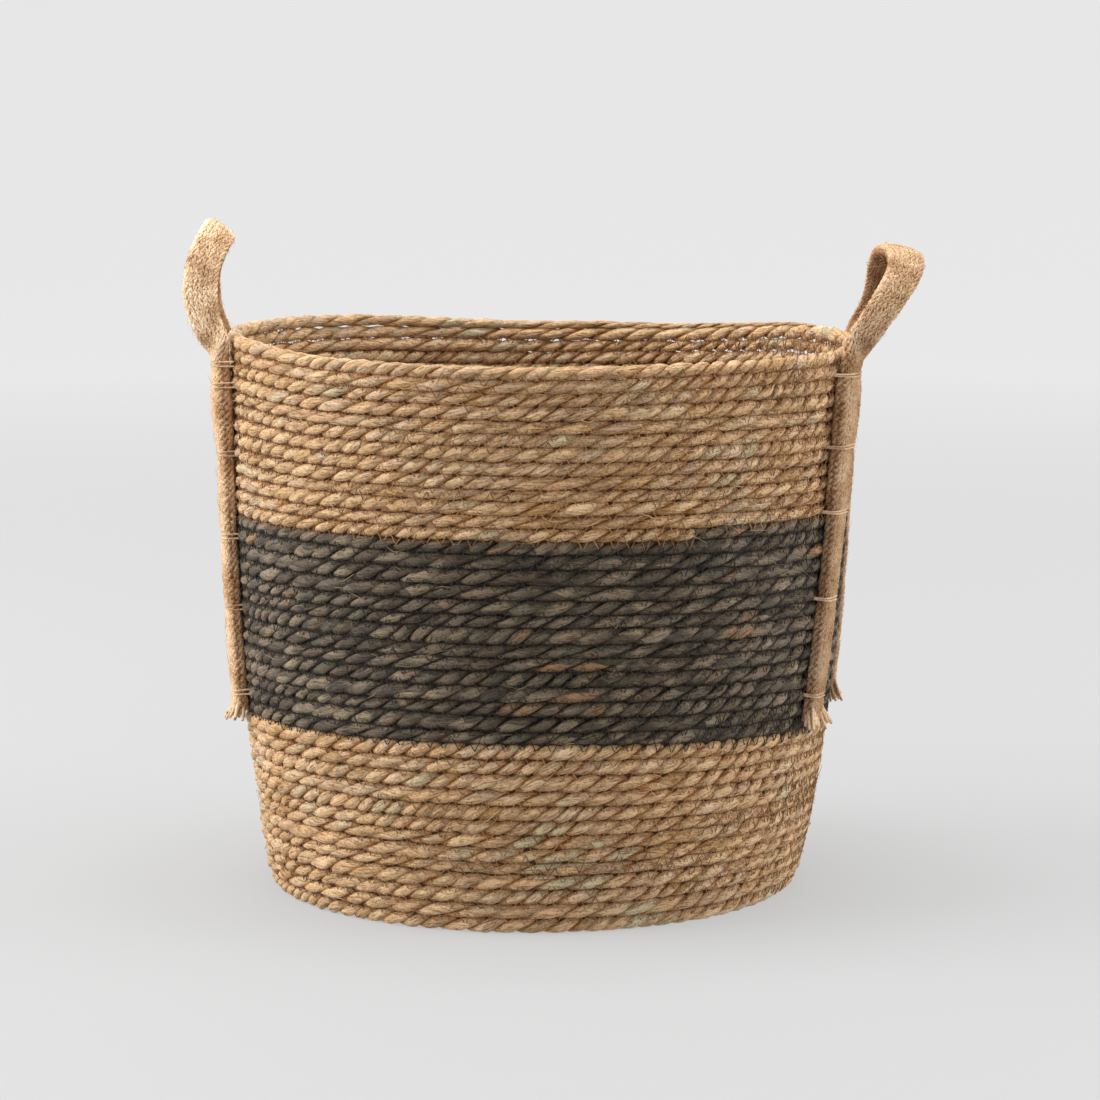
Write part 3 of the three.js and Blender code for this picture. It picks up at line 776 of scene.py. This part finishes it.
def strap_sizes(handle, s, free, heights, front):
    """Width and thickness along the strap: pinched at the root of the loop and the ties."""
    low = smooth((handle["full"][1] - heights) / 26)
    upper = np.where(front, handle["top"], handle["leg"])
    climb = np.clip((heights - HEIGHT) / handle["loop"]["spread"], 0, 1)
    top = upper + (ROOT_WIDTH - upper) * smooth((heights - 322) / 18)
    top = top + (handle["width"] - ROOT_WIDTH) * smooth(climb)
    width = top + (handle["leg"] - top) * low
    thickness = leg_thickness(handle, heights, front)
    thickness = thickness + (LOOP_THICKNESS - thickness) * free
    for tie in handle["ties"]:
        pinch = np.exp(-((heights - tie) / 5.0) ** 2)
        width = width * (1 - 0.09 * pinch)
        thickness = thickness * (1 - 0.14 * pinch)
    return width * (1 + 0.025 * wobble(s, 24, 71)), thickness * (1 + 0.03 * wobble(s, 17, 74))


def strap(name, handle):
    """A braided strap: columns of plaits whose yarns lean left and right in turn."""
    s, centre, across, face, free, heights = strap_path(handle)
    x, y = strap_section()
    width, thickness = strap_sizes(handle, s, free, heights, s < s[-1] / 2)
    u = x[None] * width[:, None] / 2
    v = y[None] * thickness[:, None] / 2
    column = np.broadcast_to((x[None] + 1) / 2 * COLUMNS, u.shape)
    index = np.clip(np.floor(column), 0, COLUMNS - 1)
    inside = np.clip(column - index, 0, 1)
    lean = np.where((index + (y[None] < 0)) % 2 == 0, 1.0, -1.0)
    drift = (1.2 * wobble(s, 45, 72) + 0.5 * wobble(s, 11, 75))[:, None]
    phase = (s[:, None] + drift) / YARN_STEP + lean * (inside - 0.5) * YARN_SLANT
    phase = phase + index * 0.37
    bulge = np.abs(np.sin(math.pi * phase)) ** 0.8
    ridge = np.sin(math.pi * inside) ** 0.5
    relief = bulge * (0.35 + 0.65 * ridge)
    rng = np.random.default_rng(73)
    ragged = rng.uniform(-0.3, 0.3, relief.shape)
    relief = np.clip(relief + ragged, 0, 1)
    height = YARN_RELIEF * (relief - 0.6) + ragged
    points = centre[:, None] + across[:, None] * u[..., None] + face[:, None] * v[..., None]
    outwards = (across[:, None] * (x * 0.9)[None, :, None] ** 3
                + face[:, None] * y[None, :, None])
    outwards = unit(outwards)
    points = points + outwards * height[..., None]
    # Painted shade on the inward face of the free loop.
    middle = np.mean(centre[free > 0.9], axis=0)
    loop_inner_shade = np.clip(-dot(outwards, unit(centre - middle)[:, None])[..., 0], 0, 1)
    loop_inner_shade = loop_inner_shade * free[:, None]
    rows = len(s)
    caps = [np.arange(SECTION_COUNT)[::-1], np.arange(SECTION_COUNT) + (rows - 1) * SECTION_COUNT]
    uvs = strip_uvs(rows, SECTION_COUNT, 5)
    i, j = np.meshgrid(np.arange(rows - 1), np.arange(SECTION_COUNT), indexing="ij")
    k = (j + 1) % SECTION_COUNT
    grain = np.stack([s[i], u[i, j], s[i], u[i, k], s[i + 1], u[i + 1, k], s[i + 1], u[i + 1, j]],
                     -1).reshape(-1, 2) * 0.001
    uvs["grain"] = grain
    piece = make_mesh(name, points.reshape(-1, 3), ring_quads(rows, SECTION_COUNT), caps,
                      jute[name.split("_")[0]], uvs,
                      {"painted_shade_crest": relief.ravel(), "lean": lean.ravel(), "loop_inner_shade": loop_inner_shade.ravel()})
    return piece, (s, centre, across, face, free, heights, width, thickness)


def hairs(name, path, count, seed):
    """Fine hairs standing off a strap."""
    s, centre, across, face, free, heights, width, thickness = path
    rng = np.random.default_rng(seed)
    k = rng.integers(2, len(s) - 2, count)
    x, y = strap_section()
    j = rng.integers(0, SECTION_COUNT, count)
    root = (centre[k] + across[k] * (x[j] * width[k] / 2)[:, None] * 0.97
            + face[k] * (y[j] * thickness[k] / 2)[:, None] * 0.97)
    out = unit(across[k] * (x[j] ** 3)[:, None] + face[k] * y[j][:, None])
    along = unit(np.gradient(centre, axis=0))[k] * rng.choice([-1, 1], count)[:, None]
    sideways = np.cross(out, along)
    share = np.linspace(0, 1, 5)
    long = rng.uniform(1.5, 6.5, count)
    lift = rng.uniform(0.1, 0.8, count) ** 1.5
    turn = rng.uniform(-1.0, 1.0, count)
    strands = (root[:, None]
               + along[:, None] * (long[:, None] * share)[..., None]
               + out[:, None] * (long * lift * 0.55)[:, None, None] * (share ** 0.8)[None, :, None]
               + sideways[:, None] * (long * turn * 0.5)[:, None, None]
               * (share ** 2)[None, :, None])
    thin = rng.uniform(0.09, 0.17, (count, 1)) * (1.05 - 0.7 * share)
    return thread_mesh(name, strands, thin, 3, jute_hair, None)


def tassel(name, handle, end):
    """The strap's unbraided end below its last tie: yarns that spread and fray."""
    rng = np.random.default_rng(91 + len(name) + (end == "back"))
    share = np.linspace(0, 1, 9)
    fall = handle["ties"][-1] - 4
    strands = []
    half = TASSEL_YARNS // 2
    for k in range(TASSEL_YARNS):
        spot = (k % half - half // 2) / (half // 2)
        layer = -0.5 if k < half else 0.5
        long = rng.uniform(0.64, 0.88) * (fall - LEG_END + 1)
        z = fall - long * share
        centre, across, face = leg_path(handle, end, np.maximum(z, 0))
        spread = spot * (6.0 + 6.5 * share ** 1.3) + rng.uniform(-2, 2) * share
        depth = layer * 3.2 + (rng.uniform(1.5, 8.0) + 2.0 * layer) * share ** 1.3
        strands.append(centre + across * spread[:, None] + face * depth[:, None])
    strands = np.array(strands)
    strands[..., 0] += LEAN * strands[..., 2] / HEIGHT
    thick = rng.uniform(0.95, 1.35, (TASSEL_YARNS, 1)) * (1 - 0.25 * share ** 4)
    return thread_mesh(name, strands, thick, 7, yarn)


for side, handle in HANDLES.items():
    for end in ("front", "back"):
        tassel(f"{side}_{end}_tassel", handle, end)
    piece, path = strap(f"{side}_handle_strap", handle)
    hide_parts(f"{side}_handle_loop", f"{side}_front_leg", f"{side}_back_leg")
    fuzz = hairs(f"{side}_handle_hairs", path, HAIR_COUNT, 81)
    for soft in (piece, fuzz):
        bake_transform(soft)

# ---------------------------------------------------------------- ties


def tie(name, handle, end, z, node):
    """Two wraps of twine over the strap, going into the wall on both sides."""
    centre, across, face = leg_path(handle, end, np.array([float(z)]))
    centre, across, face = centre[0], across[0], face[0]
    up = np.cross(face, across)
    if up[2] < 0:
        up = -up
    width, thickness = strap_sizes(handle, np.zeros(1), np.zeros(1), np.array([float(z)]),
                                   end == "front")
    half_width = width[0] / 2 + 0.3
    half_thick = thickness[0] / 2 + 0.2
    share = np.linspace(-1, 1, 25)
    angle = share * math.pi * 0.62
    strands = []
    for offset in (-1.0, 1.0):
        x = np.sign(np.sin(angle)) * np.abs(np.sin(angle)) ** 0.5 * half_width
        y = np.sign(np.cos(angle)) * np.abs(np.cos(angle)) ** 0.6 * half_thick
        beyond = np.maximum(np.abs(share) - 0.8, 0)
        y = y - beyond * 22
        x = x + np.sign(share) * beyond * 8
        rise = offset * WRAP_GAP + 0.5 * share * offset
        strands.append(centre + across * x[:, None] + face * y[:, None] + up * rise[:, None])
    strands = np.array(strands)
    strands[..., 0] += LEAN * z / HEIGHT
    piece = thread_mesh(name, strands, TWINE, 8, twine)
    if node:
        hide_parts(node)


for side, handle in HANDLES.items():
    for end in ("front", "back"):
        for i, z in enumerate(handle["ties"]):
            tie(f"{side}_{end}_twine_{i + 1}", handle, end, z, f"{side}_{end}_tie_{i + 1}")
tie("left_front_twine_6", HANDLES["left"], "front", 321, None)

# ---------------------------------------------------------------- stage, light, camera

camera_data = bpy.data.cameras.new("camera")
camera = bpy.data.objects.new("camera", camera_data)
scene.collection.objects.link(camera)
camera_data.lens, camera_data.sensor_width = CAMERA_LENS, 36.0
camera.location = (
    CAMERA_SIDE * math.cos(CAMERA_TURN) + CAMERA_BACK * math.sin(CAMERA_TURN),
    CAMERA_SIDE * math.sin(CAMERA_TURN) - CAMERA_BACK * math.cos(CAMERA_TURN), CAMERA_HEIGHT)
camera.rotation_euler = (math.pi / 2 - CAMERA_PITCH, 0, CAMERA_TURN)
scene.camera = camera


def stage():
    """A floor that curves up into a wall all round."""
    flat = [(0.002, 0.0), (0.6, 0.0), (1.5, 0.0), (3.0, 0.0), (4.0, 0.0)]
    bend = [(4.0 + 2.0 * math.sin(a), 2.0 - 2.0 * math.cos(a))
            for a in np.radians(np.arange(10, 91, 10))]
    profile = flat + bend + [(6.0, 3.6)]
    sides = 96
    angle = 2 * math.pi * np.arange(sides) / sides
    points = np.array([[r * math.cos(a), r * math.sin(a), z] for r, z in profile for a in angle])
    floor = make_mesh("floor", points * 1000, ring_quads(len(profile), sides))
    n = Nodes("floor")
    n.shader.inputs["Base Color"].default_value = grey(FLOOR_GREY)
    place = n.add("TexCoord").outputs["Object"]
    far = n.add("VectorMath", {0: place}, operation="LENGTH").outputs["Value"]
    glow = n.add("MapRange", {"Value": far, "From Min": GLOW_NEAR[0], "From Max": GLOW_FAR[0],
                              "To Min": GLOW_NEAR[1], "To Max": GLOW_FAR[1]}).outputs[0]
    n.shader.inputs["Emission Color"].default_value = (1, 1, 1, 1)
    n.set(n.shader.inputs["Emission Strength"], glow)
    n.shader.inputs["Roughness"].default_value = 0.9
    n.shader.inputs["Specular IOR Level"].default_value = 0.1
    floor.data.materials.append(n.material)


def softbox(name, place, aim, size, power):
    """A rectangular soft light."""
    data = bpy.data.lights.new(name, "AREA")
    data.shape, data.size, data.size_y = "RECTANGLE", size[0], size[1]
    data.energy = power
    lamp = bpy.data.objects.new(name, data)
    lamp.location = place
    direction = np.subtract(aim, place)
    lamp.rotation_euler = Vector(direction).to_track_quat("-Z", "Y").to_euler()
    scene.collection.objects.link(lamp)


stage()
for light in LIGHTS:
    softbox(*light)
world = bpy.data.worlds.new("world")
scene.world = world
world.use_nodes = True
world.node_tree.nodes["Background"].inputs[0].default_value = (1, 1, 1, 1)
world.node_tree.nodes["Background"].inputs[1].default_value = WORLD_LIGHT
scene.view_settings.view_transform = "Standard"
